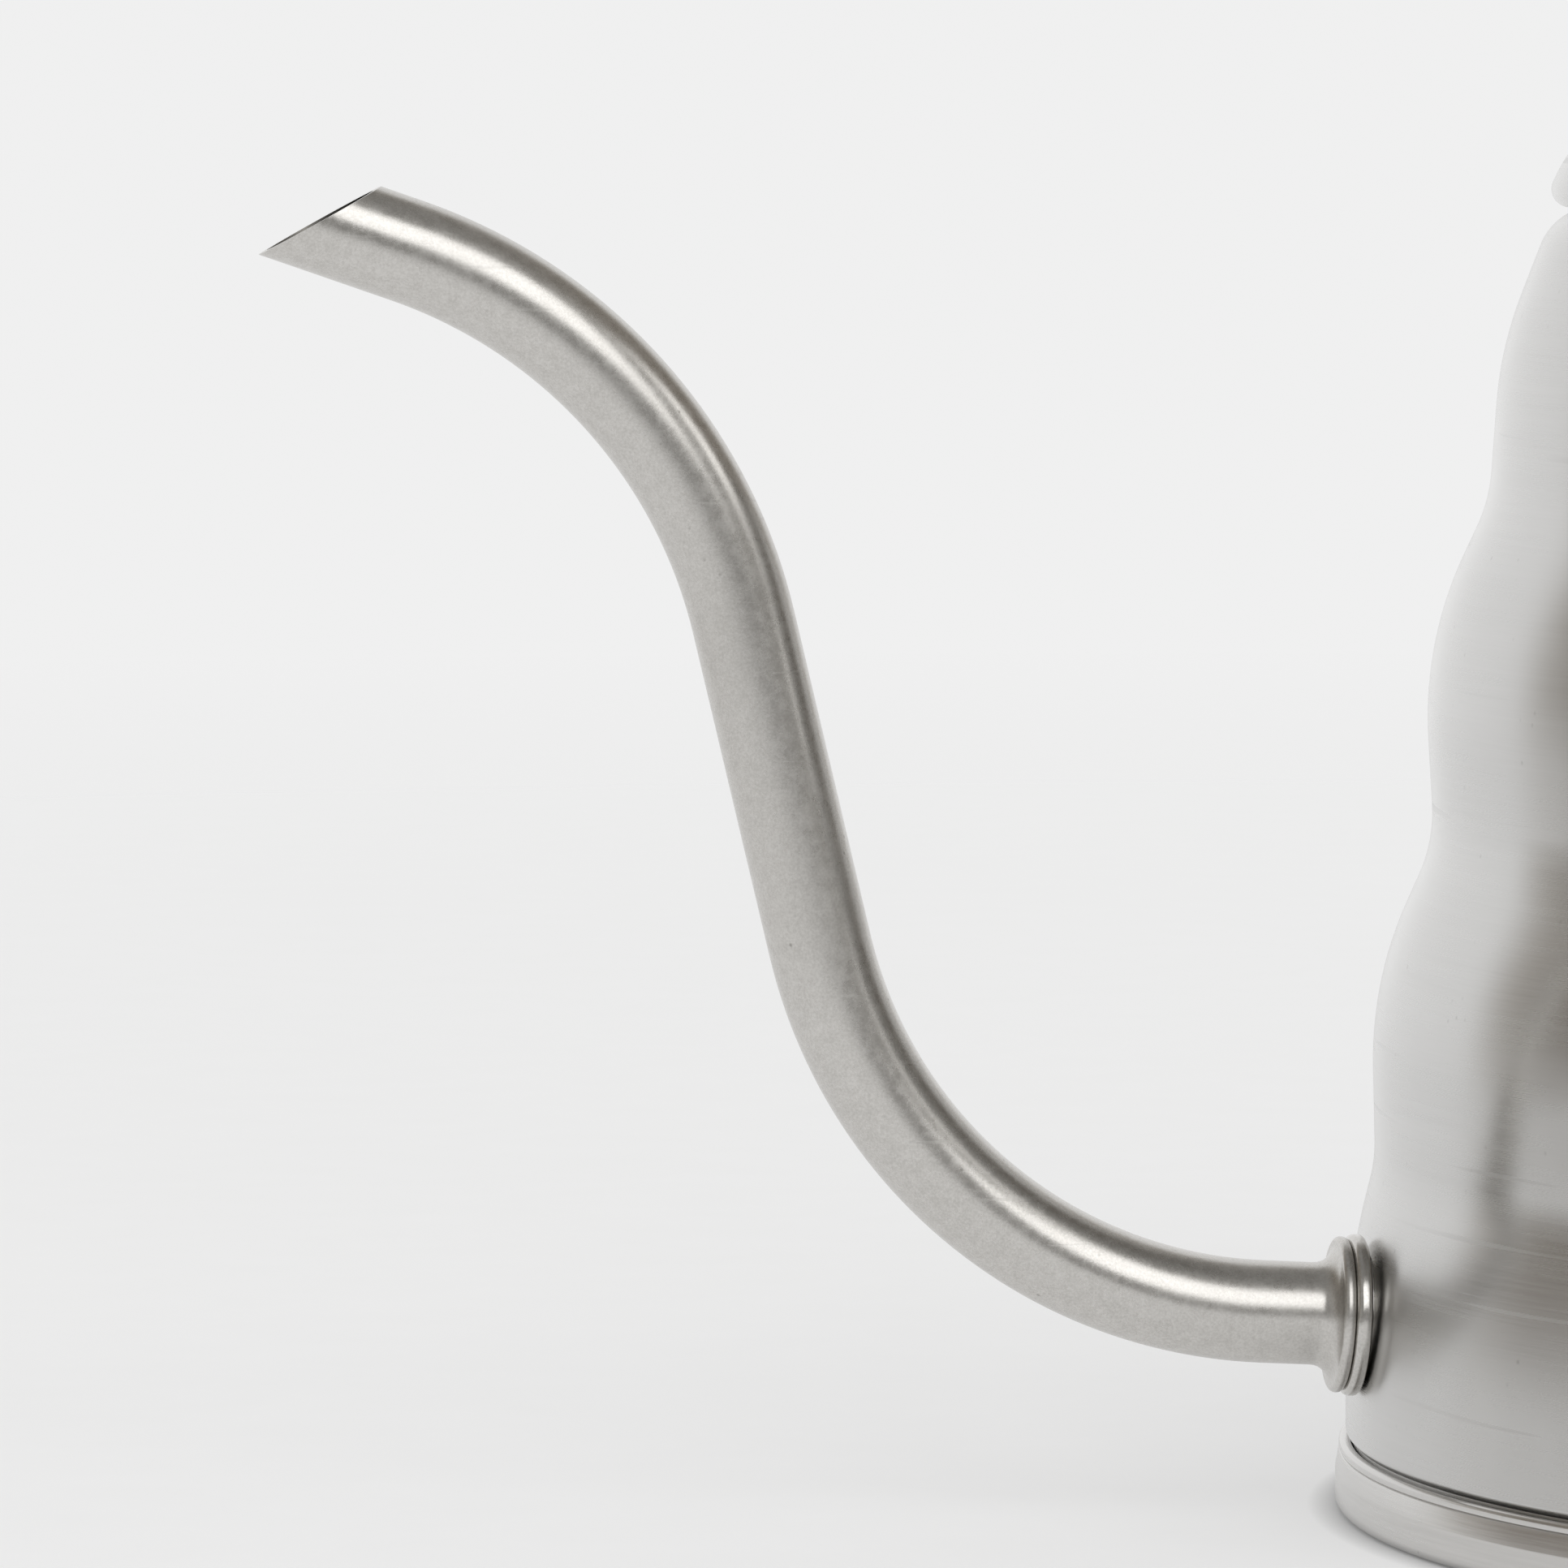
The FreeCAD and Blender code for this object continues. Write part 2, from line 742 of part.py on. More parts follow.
os.makedirs("parts", exist_ok=True)
for name, shape in pieces.items():
    shape.exportStep(f"parts/{name}.step")
    box = shape.optimalBoundingBox(False)
    print(f"{name}: {len(shape.Solids)} solid, {shape.Volume:.1f} mm3, valid {shape.isValid()},",
          f"z {box.ZMin:.2f} to {box.ZMax:.2f}, x {box.XMin:.2f} to {box.XMax:.2f}")
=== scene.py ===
import bpy
import math
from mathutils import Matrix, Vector


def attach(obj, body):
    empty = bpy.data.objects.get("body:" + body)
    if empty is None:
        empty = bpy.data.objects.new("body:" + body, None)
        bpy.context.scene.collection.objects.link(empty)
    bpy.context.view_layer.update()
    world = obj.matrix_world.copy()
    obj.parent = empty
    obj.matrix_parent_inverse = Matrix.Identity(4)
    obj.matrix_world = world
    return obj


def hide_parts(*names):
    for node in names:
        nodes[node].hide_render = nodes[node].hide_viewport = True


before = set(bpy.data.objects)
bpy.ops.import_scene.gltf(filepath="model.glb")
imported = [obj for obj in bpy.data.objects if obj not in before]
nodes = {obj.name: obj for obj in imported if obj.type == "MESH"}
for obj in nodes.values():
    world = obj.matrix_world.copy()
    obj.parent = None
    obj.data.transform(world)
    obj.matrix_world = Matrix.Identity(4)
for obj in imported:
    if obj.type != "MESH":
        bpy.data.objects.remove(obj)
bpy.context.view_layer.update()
scene = bpy.context.scene
scene.view_settings.view_transform = "Standard"
mm = 0.001
shortest = 1e-4  # mm, shorter runs of an outline are dropped
weldReach = 0.001  # mm, closer points are one
smoothAngle = 35  # degrees, sharper edges stay sharp
drillPoints = 64
print("frame loaded,", len(nodes), "nodes")


def pick(piece):  # this piece alone is selected and active
    if bpy.context.mode != "OBJECT":
        bpy.ops.object.mode_set(mode="OBJECT")
    bpy.ops.object.select_all(action="DESELECT")
    piece.select_set(True)
    bpy.context.view_layer.objects.active = piece


def applyPlace():
    bpy.ops.object.transform_apply(location=True, rotation=True, scale=True)


def startPiece(name):  # names the primitive that was just added and opens it
    piece = bpy.context.object
    piece.name = name
    piece.data.name = name
    bpy.ops.object.mode_set(mode="EDIT")
    bpy.ops.mesh.select_all(action="SELECT")
    return piece


def applyModifier(piece, kind, **settings):
    pick(piece)
    bpy.ops.object.modifier_add(type=kind)
    modifier = piece.modifiers[-1]
    for name, value in settings.items():
        setattr(modifier, name, value)
    bpy.ops.object.modifier_apply(modifier=modifier.name)


def thicken(piece, sheet, side=-1, **settings):  # a surface turns into sheet metal
    applyModifier(piece, "SOLIDIFY", thickness=sheet * mm, offset=side, use_even_offset=True, **settings)


def cutAway(piece, cutter):
    applyModifier(piece, "BOOLEAN", operation="DIFFERENCE", object=cutter, solver="EXACT")
    bpy.data.objects.remove(cutter)


def drillBit(radius, depth, place):
    bpy.ops.object.select_all(action="DESELECT")
    bpy.ops.mesh.primitive_cylinder_add(
        vertices=drillPoints, radius=radius * mm, depth=depth * mm, location=Vector(place) * mm,
        rotation=(0, 0, math.pi / drillPoints))  # no corner on a turned piece's mesh line
    applyPlace()
    return bpy.context.object


def cleanMesh():  # the piece that is open is welded and closed
    bpy.ops.mesh.select_all(action="SELECT")
    bpy.ops.mesh.remove_doubles(threshold=weldReach * mm)
    bpy.ops.mesh.normals_make_consistent(inside=False)
    bpy.ops.object.mode_set(mode="OBJECT")


def arcReach(line, roundings):  # how far each arc runs along its two sides, less where a side is short
    last = len(line) - 1
    reach = [0.0] * len(line)
    for i in range(1, last):
        turn = (line[i] - line[i - 1]).angle(line[i + 1] - line[i])
        reach[i] = roundings[i] * math.tan(turn / 2)
    share = [1.0] * len(line)
    for i in range(last):
        wanted = reach[i] + reach[i + 1]
        room = (line[i + 1] - line[i]).length
        if wanted > room:
            share[i] = min(share[i], room / wanted)
            share[i + 1] = min(share[i + 1], room / wanted)
    return [length * part for length, part in zip(reach, share)]


def cornerArc(before, corner, after, length, turnStep):
    back = (before - corner).normalized()
    onward = (after - corner).normalized()
    half = back.angle(onward) / 2
    radius = length * math.tan(half)
    centre = corner + (back + onward).normalized() * (radius / math.sin(half))
    first = corner + back * length - centre
    final = corner + onward * length - centre
    turn = math.pi - 2 * half
    steps = max(2, math.ceil(math.degrees(turn) / turnStep))
    arc = []
    for k in range(steps + 1):
        part = turn * k / steps
        spoke = first * math.sin(turn - part) + final * math.sin(part)
        arc.append(centre + spoke / math.sin(turn))
    return arc


def softLine(corners, turnStep):  # corners are (x, z, rounding) in mm, joined by straight runs and arcs
    line = [Vector((x, 0, z)) for x, z, _ in corners]
    reach = arcReach(line, [rounding for _, _, rounding in corners])
    points = [line[0]]
    for before, corner, after, length in zip(line, line[1:], line[2:], reach[1:]):
        if length < shortest:
            points.append(corner)
        else:
            points += cornerArc(before, corner, after, length, turnStep)
    points.append(line[-1])
    kept = [points[0]]
    for point in points[1:]:
        if (point - kept[-1]).length > shortest:
            kept.append(point)
    return [point * mm for point in kept]


def turnedLine(name, points, steps):  # the outline is drawn vertex by vertex, then spun round Z
    bpy.ops.object.select_all(action="DESELECT")
    bpy.ops.mesh.primitive_plane_add(size=mm)
    piece = startPiece(name)
    bpy.ops.mesh.merge(type="CENTER")
    bpy.ops.transform.translate(value=points[0])
    for here, there in zip(points, points[1:]):
        bpy.ops.mesh.extrude_vertices_move(TRANSFORM_OT_translate={"value": there - here})
    bpy.ops.mesh.select_all(action="SELECT")
    bpy.ops.mesh.spin(steps=steps, angle=2 * math.pi, center=(0, 0, 0), axis=(0, 0, 1))
    cleanMesh()
    return piece


def turnedPiece(name, shape):
    return turnedLine(name, softLine(shape["corners"], shape["arcStep"]), shape["spinSteps"])


def dress(piece, body, slotName, finish, *replaced):
    pick(piece)
    if not piece.data.materials:
        piece.data.materials.append(finish)
    bpy.ops.object.shade_smooth_by_angle(angle=math.radians(smoothAngle))
    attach(piece, body)
    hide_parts(*replaced)
    print(piece.name, "made,", len(piece.data.polygons), "faces")


# Node helpers
def addNode(tree, kind, **settings):
    made = tree.nodes.new(kind)
    made.location = (-200 * len(tree.nodes), 0)
    for name, value in settings.items():
        setattr(made, name, value)
    return made


def feed(tree, value, socket):  # with another node's output, a number or a colour
    if hasattr(value, "is_output"):
        tree.links.new(value, socket)
    else:
        socket.default_value = (*value, 1) if isinstance(value, tuple) else value


def mathNode(tree, how, first, second, clamp=False):
    made = addNode(tree, "ShaderNodeMath", operation=how, use_clamp=clamp)
    feed(tree, first, made.inputs[0])
    feed(tree, second, made.inputs[1])
    return made.outputs[0]


def scaled(tree, value, share):
    return mathNode(tree, "MULTIPLY", value, share)


def blendOf(tree, first, second, share):  # the first by its share, the second by the rest
    return mathNode(tree, "ADD", scaled(tree, first, share), scaled(tree, second, 1 - share))


def carved(tree, height, mask, depth):
    return mathNode(tree, "SUBTRACT", height, scaled(tree, mask, depth))


def noiseOn(tree, vector, scale, detail=3.0, roughness=0.55, distortion=0.0):
    made = addNode(tree, "ShaderNodeTexNoise")
    made.inputs["Scale"].default_value = scale
    made.inputs["Detail"].default_value = detail
    made.inputs["Roughness"].default_value = roughness
    made.inputs["Distortion"].default_value = distortion
    tree.links.new(vector, made.inputs["Vector"])
    return made.outputs["Fac"]


def rampOn(tree, value, stops):
    made = addNode(tree, "ShaderNodeValToRGB")
    band = made.color_ramp
    while len(band.elements) < len(stops):
        band.elements.new(0.5)
    for element, (place, tone) in zip(band.elements, stops):
        element.position = place
        element.color = (*tone, 1)
    tree.links.new(value, made.inputs["Fac"])
    return made.outputs["Color"]


def rangeOn(tree, value, fromLow, fromHigh, toLow=0.0, toHigh=1.0):
    made = addNode(tree, "ShaderNodeMapRange", clamp=True)
    limits = {"From Min": fromLow, "From Max": fromHigh, "To Min": toLow, "To Max": toHigh}
    for name, number in limits.items():
        made.inputs[name].default_value = number
    tree.links.new(value, made.inputs["Value"])
    return made.outputs["Result"]


def mixTone(tree, amount, low, high):
    made = addNode(tree, "ShaderNodeMix", data_type="RGBA", blend_type="MIX")
    for socket, value in zip((made.inputs[0], made.inputs[6], made.inputs[7]), (amount, low, high)):
        feed(tree, value, socket)  # 6, 7 and the output 2 are the colour sockets
    return made.outputs[2]


def newGroup(name, inputs, outputs):
    tree = bpy.data.node_groups.new(name, "ShaderNodeTree")
    for label, value in inputs.items():
        socket = tree.interface.new_socket(label, in_out="INPUT", socket_type="NodeSocketFloat")
        socket.default_value = value
    for label in outputs:
        tree.interface.new_socket(label, in_out="OUTPUT", socket_type="NodeSocketFloat")
    return tree, addNode(tree, "NodeGroupInput"), addNode(tree, "NodeGroupOutput")


def scaledPlace(tree, across, along, turn=(0, 0, 0)):  # object coordinates, squeezed so that noise turns into lines
    place = addNode(tree, "ShaderNodeTexCoord")
    squeeze = addNode(tree, "ShaderNodeCombineXYZ")
    tree.links.new(along, squeeze.inputs["X"])
    tree.links.new(along, squeeze.inputs["Y"])
    tree.links.new(across, squeeze.inputs["Z"])
    mapping = addNode(tree, "ShaderNodeMapping")
    mapping.inputs["Rotation"].default_value = turn
    tree.links.new(place.outputs["Object"], mapping.inputs["Vector"])
    tree.links.new(squeeze.outputs["Vector"], mapping.inputs["Scale"])
    return mapping.outputs["Vector"]


# Brush lines that run round the axis of a turned piece, each noise as scale, detail and roughness
brushMake = dict(fine=(1.0, 4.0, 0.7), wide=(0.12, 2.0, 0.6), fineShare=0.6)
brushTree, brushIn, brushOut = newGroup("turnedBrush", {"Lines": 2600.0, "Streak": 30.0}, ("Height", "Tone"))
brushPlace = scaledPlace(brushTree, brushIn.outputs["Lines"], brushIn.outputs["Streak"])
fineLines = noiseOn(brushTree, brushPlace, *brushMake["fine"])
wideLines = noiseOn(brushTree, brushPlace, *brushMake["wide"])
lineTone = blendOf(brushTree, fineLines, wideLines, brushMake["fineShare"])
brushTree.links.new(fineLines, brushOut.inputs["Height"])
brushTree.links.new(lineTone, brushOut.inputs["Tone"])

# Soft grain of tumbled metal, with small pits in some places
grainMake = dict(height=(4500.0, 3.0, 0.6), mottle=(900.0, 4.0, 0.65, 0.2), pitScale=750.0,
                 pitEdge=(0.02, 0.16, 1.0, 0.0), patches=(260.0, 2.0), patchEdge=(0.56, 0.66))
grainTree, grainIn, grainOut = newGroup("tumbledGrain", {"Size": 1.0}, ("Height", "Pits", "Mottle"))
grainPlace = scaledPlace(grainTree, grainIn.outputs["Size"], grainIn.outputs["Size"])
grainHeight = noiseOn(grainTree, grainPlace, *grainMake["height"])
grainMottle = noiseOn(grainTree, grainPlace, *grainMake["mottle"])
pitCells = addNode(grainTree, "ShaderNodeTexVoronoi", feature="F1")
pitCells.inputs["Scale"].default_value = grainMake["pitScale"]
grainTree.links.new(grainPlace, pitCells.inputs["Vector"])
pitSpots = rangeOn(grainTree, pitCells.outputs["Distance"], *grainMake["pitEdge"])
pitPatches = rangeOn(grainTree, noiseOn(grainTree, grainPlace, *grainMake["patches"]), *grainMake["patchEdge"])
grainTree.links.new(grainHeight, grainOut.inputs["Height"])
grainTree.links.new(scaled(grainTree, pitSpots, pitPatches), grainOut.inputs["Pits"])
grainTree.links.new(grainMottle, grainOut.inputs["Mottle"])

# Hairline scratches in two directions and dull patches from handling
markMake = dict(ways=[((0.5, 0.35, 0.2), (0.715, 0.74)), ((-0.6, 1.1, 0.8), (0.72, 0.745))],  # turn and edge
                hair=(1.0, 1.0), smudge=(34.0, 3.0, 0.5, 0.6))
markTree, markIn, markOut = newGroup("handlingMarks", {"Fine": 900.0, "Long": 26.0}, ("Scratches", "Smudge"))
hairLines = []
for hairTurn, hairEdge in markMake["ways"]:
    hairPlace = scaledPlace(markTree, markIn.outputs["Fine"], markIn.outputs["Long"], hairTurn)
    hairLines.append(rangeOn(markTree, noiseOn(markTree, hairPlace, *markMake["hair"]), *hairEdge))
markTree.links.new(mathNode(markTree, "MAXIMUM", *hairLines), markOut.inputs["Scratches"])
markPlace = addNode(markTree, "ShaderNodeTexCoord")
smudge = noiseOn(markTree, markPlace.outputs["Object"], *markMake["smudge"])
markTree.links.new(smudge, markOut.inputs["Smudge"])
print("node groups ready")


def useGroup(tree, group, **values):
    made = addNode(tree, "ShaderNodeGroup", node_tree=group)
    for name, value in values.items():
        made.inputs[name].default_value = value
    return made.outputs


def newFinish(name, metallic):
    finish = bpy.data.materials.new(name)
    finish.use_nodes = True
    tree = finish.node_tree
    shader = tree.nodes["Principled BSDF"]
    shader.inputs["Metallic"].default_value = metallic
    return finish, tree, shader


def bumpOn(tree, shader, height, depth):
    made = addNode(tree, "ShaderNodeBump")
    made.inputs["Strength"].default_value = 1.0
    made.inputs["Distance"].default_value = depth
    tree.links.new(height, made.inputs["Height"])
    tree.links.new(made.outputs["Normal"], shader.inputs["Normal"])


def wornSteel(tree, shader, look, make, grain, tone, rough, height):  # pits and marks over a steel's own pattern
    marks = useGroup(tree, markTree, **make["marks"])
    tone = mixTone(tree, scaled(tree, grain["Pits"], look["pits"]), tone, look["pitTone"])
    tree.links.new(tone, shader.inputs["Base Color"])
    rough = mathNode(tree, "ADD", rough, rangeOn(tree, marks["Smudge"], *make["smudgeRough"]))
    scratchRough = scaled(tree, marks["Scratches"], make["scratchRough"])
    tree.links.new(mathNode(tree, "ADD", rough, scratchRough, clamp=True), shader.inputs["Roughness"])
    height = carved(tree, height, grain["Pits"], make["pitDepth"])
    height = carved(tree, height, marks["Scratches"], make["scratchDepth"])
    bumpOn(tree, shader, height, look["depth"])


brushedMake = dict(marks=dict(Fine=900.0, Long=22.0), toneEdge=(0.3, 0.7), smudgeRough=(0.45, 0.7, 0.0, 0.05),
                   scratchRough=0.06, scratchDepth=0.25, pitDepth=0.8, pullTurn=0.25)


def brushedSteel(name, look):  # drawn and brushed sheet
    finish, tree, shader = newFinish(name, 1.0)
    brush = useGroup(tree, brushTree, Lines=look["lines"], Streak=look["streak"])
    grain = useGroup(tree, grainTree, Size=look["grainSize"])
    tone = mixTone(tree, rangeOn(tree, brush["Tone"], *brushedMake["toneEdge"]), look["dark"], look["light"])
    rough = rangeOn(tree, brush["Tone"], *brushedMake["toneEdge"], *look["rough"])
    wornSteel(tree, shader, look, brushedMake, grain, tone, rough, brush["Height"])
    shader.inputs["Anisotropic"].default_value = look["pull"]
    shader.inputs["Anisotropic Rotation"].default_value = brushedMake["pullTurn"]  # spread across the brush lines
    return finish


tumbledMake = dict(marks=dict(Fine=1300.0, Long=60.0), mottleShare=0.4, speckleEdge=(0.38, 0.62),
                   mottleEdge=(0.36, 0.66), smudgeRough=(0.45, 0.7, 0.0, 0.05), scratchRough=0.05,
                   scratchDepth=0.2, pitDepth=0.9)


def tumbledSteel(name, look):  # satin, slightly mottled metal
    finish, tree, shader = newFinish(name, 1.0)
    grain = useGroup(tree, grainTree, Size=look["grainSize"])
    speckle = blendOf(tree, grain["Mottle"], grain["Height"], tumbledMake["mottleShare"])
    tone = mixTone(tree, rangeOn(tree, speckle, *tumbledMake["speckleEdge"]), look["dark"], look["light"])
    rough = rangeOn(tree, grain["Mottle"], *tumbledMake["mottleEdge"], *look["rough"])
    wornSteel(tree, shader, look, tumbledMake, grain, tone, rough, grain["Height"])
    return finish


mouldedMake = dict(marks=dict(Fine=700.0, Long=40.0), mottleEdge=(0.35, 0.7), smudgeEdge=(0.35, 0.7),
                   wornShare=0.35, mottleRough=0.06, coatRough=0.25)


def mouldedPhenolic(name, look):  # dark moulded resin with a faint flow pattern
    finish, tree, shader = newFinish(name, 0.0)
    grain = useGroup(tree, grainTree, Size=look["grainSize"])
    marks = useGroup(tree, markTree, **mouldedMake["marks"])
    tone = mixTone(tree, rangeOn(tree, grain["Mottle"], *mouldedMake["mottleEdge"]), look["dark"], look["light"])
    tone = mixTone(tree, scaled(tree, marks["Scratches"], mouldedMake["wornShare"]), tone, look["worn"])
    tree.links.new(tone, shader.inputs["Base Color"])
    rough = rangeOn(tree, marks["Smudge"], *mouldedMake["smudgeEdge"], *look["rough"])
    rough = mathNode(tree, "ADD", rough, scaled(tree, grain["Mottle"], mouldedMake["mottleRough"]))
    tree.links.new(rough, shader.inputs["Roughness"])
    shader.inputs["Coat Weight"].default_value = look["gloss"]
    shader.inputs["Coat Roughness"].default_value = mouldedMake["coatRough"]
    bumpOn(tree, shader, mathNode(tree, "SUBTRACT", grain["Height"], marks["Scratches"]), look["depth"])
    return finish


bodyLook = dict(
    lines=4200.0, streak=40.0, grainSize=0.8, dark=(0.60, 0.595, 0.585), light=(0.645, 0.64, 0.63),
    pits=0.5, pitTone=(0.30, 0.29, 0.28), rough=(0.22, 0.29), pull=0.85, depth=1.0e-6)
baseLook = dict(
    lines=3600.0, streak=60.0, grainSize=1.0, dark=(0.58, 0.57, 0.555), light=(0.70, 0.69, 0.675),
    pits=0.4, pitTone=(0.28, 0.27, 0.26), rough=(0.17, 0.27), pull=0.5, depth=3e-6)
lidLook = dict(bodyLook, lines=1500.0, streak=160.0)
spoutLook = dict(
    grainSize=1.0, dark=(0.54, 0.525, 0.50), light=(0.66, 0.645, 0.62),
    pits=0.8, pitTone=(0.25, 0.24, 0.22), rough=(0.24, 0.29), depth=3.5e-6)
# painted shade: the tube's inner wall is the same steel, given a darker, duller colour for the shade inside the
# tube
shadedInsideLook = dict(spoutLook, dark=(0.20, 0.19, 0.175), light=(0.28, 0.27, 0.25), rough=(0.40, 0.50))
collarLook = dict(spoutLook, rough=(0.14, 0.19), depth=1.2e-6)
fittingLook = dict(spoutLook, rough=(0.24, 0.33), light=(0.62, 0.61, 0.60))
screwLook = dict(spoutLook, rough=(0.16, 0.26), light=(0.68, 0.67, 0.65))
brassLook = dict(spoutLook, dark=(0.60, 0.42, 0.18), light=(0.74, 0.55, 0.26), pitTone=(0.30, 0.20, 0.08))
phenolicLook = dict(
    grainSize=0.5, dark=(0.012, 0.011, 0.010), light=(0.024, 0.022, 0.020), worn=(0.06, 0.055, 0.05),
    rough=(0.30, 0.42), gloss=0.25, depth=3e-6)
bodySteel = brushedSteel("bodySteel", bodyLook)
baseSteel = brushedSteel("baseSteel", baseLook)
lidSteel = brushedSteel("lidSteel", lidLook)
spoutSteel = tumbledSteel("spoutSteel", spoutLook)
spoutInsideShade = tumbledSteel("spoutInsideShade", shadedInsideLook)
collarSteel = tumbledSteel("collarSteel", collarLook)
fittingSteel = tumbledSteel("fittingSteel", fittingLook)
screwSteel = tumbledSteel("screwSteel", screwLook)
insertBrass = tumbledSteel("insertBrass", brassLook)
darkPhenolic = mouldedPhenolic("darkPhenolic", phenolicLook)
print("finishes ready")

# Spout root: where the spout leaves the body, shared by the shell's hole, the collar and the tube
root = dict(point=(-70.88, 0, 18.4), tilt=3.0)
rootPoint = Vector(root["point"]) * mm
rootTilt = math.radians(root["tilt"])


def ahead(angle):  # a direction in the spout's plane, 0 is level and away from the body
    return Vector((-math.cos(angle), 0, math.sin(angle)))


def toRoot(piece):  # a piece turned round Z is laid along the spout's first run
    pick(piece)
    piece.rotation_euler = (0, rootTilt - math.pi / 2, 0)
    piece.location = rootPoint
    applyPlace()


# Body shell
bodyShape = dict(
    sheet=0.7, rootHole=5.5, drillDepth=8.0, arcStep=2.0, spinSteps=256,
    corners=[(70.5, 0.8, 0), (70.5, 6.1, 0), (71.1, 6.7, 0.5), (71.1, 20.7, 60.0), (68.6, 30.6, 14.0),
             (69.0, 46.6, 34.0), (63.5, 59.2, 14.0), (64.6, 76.9, 34.0), (58.8, 89.5, 14.0),
             (57.9, 103.0, 34.0), (53.1, 115.6, 5.5), (45.0, 115.6, 2.0), (45.0, 109.6, 0)],
)
bodyShell = turnedPiece("bodyShell", bodyShape)
thicken(bodyShell, bodyShape["sheet"])
rootDrill = drillBit(bodyShape["rootHole"], bodyShape["drillDepth"], (0, 0, 0))
toRoot(rootDrill)
cutAway(bodyShell, rootDrill)
dress(bodyShell, "kettle", "body_steel", bodySteel, "body_shell")

# Base pan
panShape = dict(
    arcStep=9.0, spinSteps=256,
    corners=[(0, 1.2, 0), (57.0, 1.2, 2.0), (60.0, 0, 2.0), (72.0, 0, 0.8), (72.0, 3.2, 1.0),
             (71.7, 5.0, 0.05), (71.5, 5.1, 0), (71.7, 5.2, 0.05), (71.7, 6.0, 0.45), (70.6, 6.0, 0.45),
             (70.6, 0.8, 0), (60.0, 0.8, 2.0), (57.0, 2.0, 2.0), (0, 2.0, 0)],
)
basePan = turnedPiece("basePan", panShape)
dress(basePan, "kettle", "base_steel", baseSteel, "base_pan")

# Spout collar
collarShape = dict(
    arcStep=12.0, spinSteps=128,
    corners=[(3.9, -1.96, 0), (6.1, -1.96, 0.23), (6.1, -1.26, 0.23), (5.4, -1.26, 0), (5.4, 0.0, 0),
             (7.1, 0.0, 0.5), (7.1, 1.4, 0.6), (3.9, 1.4, 0), (3.9, -1.96, 0)],
)
spoutCollar = turnedPiece("spoutCollar", collarShape)
toRoot(spoutCollar)
dress(spoutCollar, "kettle", "spout_steel", collarSteel, "spout_collar")

# Spout: a ring is drawn out and bent run by run, straight runs as length and rings, bends as radius and turn
spoutShape = dict(
    wall=0.6, ringPoints=96, arcStep=12.0, bendStep=1.5,
    flare=[(3.95, 1.4, 0), (6.85, 1.4, 0.5), (6.85, 2.5, 0.5), (4.5, 2.5, 1.8), (4.5, 5.0, 0)],
    firstRun=(3.61, 3), lowerBend=(42.5, 73.7), rise=(29.0, 8), upperBend=(45.1, -57.5), tip=(8.0, 3),
    spare=(18.0, 6), lipAngle=29.0, lipLean=0.6, lipCutter=60.0,
)
flareLine = softLine(spoutShape["flare"], spoutShape["arcStep"])
bpy.ops.object.select_all(action="DESELECT")
bpy.ops.mesh.primitive_circle_add(vertices=spoutShape["ringPoints"], radius=flareLine[0].x)
spoutTube = startPiece("spoutTube")
bpy.ops.transform.translate(value=(0, 0, flareLine[0].z))
for here, there in zip(flareLine, flareLine[1:]):
    bpy.ops.mesh.extrude_region_move(TRANSFORM_OT_translate={"value": (0, 0, there.z - here.z)})
    size = there.x / here.x
    bpy.ops.transform.resize(value=(size, size, 1), center_override=(0, 0, there.z))
bpy.ops.object.mode_set(mode="OBJECT")
toRoot(spoutTube)
bpy.ops.object.mode_set(mode="EDIT")  # the last ring is still selected
ring = dict(centre=rootPoint + ahead(rootTilt) * flareLine[-1].z, heading=rootTilt)


def drawOut(length, rings):
    step = ahead(ring["heading"]) * (length * mm / rings)
    for _ in range(rings):
        bpy.ops.mesh.extrude_region_move(TRANSFORM_OT_translate={"value": step})
    ring["centre"] = ring["centre"] + step * rings


def bendOn(radius, turn):  # upwards for a positive turn
    angle = math.radians(turn)
    square = math.copysign(math.pi / 2, turn)
    pivot = ring["centre"] + ahead(ring["heading"] + square) * radius * mm
    steps = round(abs(turn) / spoutShape["bendStep"])
    bpy.ops.mesh.spin(steps=steps, angle=-angle, center=pivot, axis=(0, 1, 0))
    ring["heading"] += angle
    ring["centre"] = pivot - ahead(ring["heading"] + square) * radius * mm


drawOut(*spoutShape["firstRun"])
bendOn(*spoutShape["lowerBend"])
drawOut(*spoutShape["rise"])
bendOn(*spoutShape["upperBend"])
drawOut(*spoutShape["tip"])
lipCentre = ring["centre"].copy()
drawOut(*spoutShape["spare"])
cleanMesh()
spoutTube.data.materials.append(spoutSteel)
# the inner wall takes the darker copy of the spout steel, painted shade inside the tube
spoutTube.data.materials.append(spoutInsideShade)
thicken(spoutTube, spoutShape["wall"], material_offset=1)
bpy.ops.object.select_all(action="DESELECT")
cutterSize = spoutShape["lipCutter"] * mm
bpy.ops.mesh.primitive_cube_add(size=cutterSize, location=(0, 0, cutterSize / 2))
applyPlace()
lipCutter = bpy.context.object
lipCutter.rotation_euler = (-math.radians(spoutShape["lipLean"]), -math.radians(spoutShape["lipAngle"]), 0)
lipCutter.location = lipCentre
applyPlace()
cutAway(spoutTube, lipCutter)
dress(spoutTube, "kettle", "spout_steel", spoutSteel, "spout_tube")

# Lid: a dome with a rolled edge
lidShape = dict(
    sheet=0.7, top=130.03, screwHole=2.2, seat=13.0, seatRounding=20.0, shoulder=(50.19, 124.81),
    shoulderRounding=13.5, beadCentre=(51.9, 117.03), bead=1.6, flank=24.0, curlEnd=-250.0, curlSteps=30,
    vents=3, vent=1.2, ventCircle=24.0, ventHeight=126.0, ventDepth=20.0, arcStep=2.5, spinSteps=256,
)


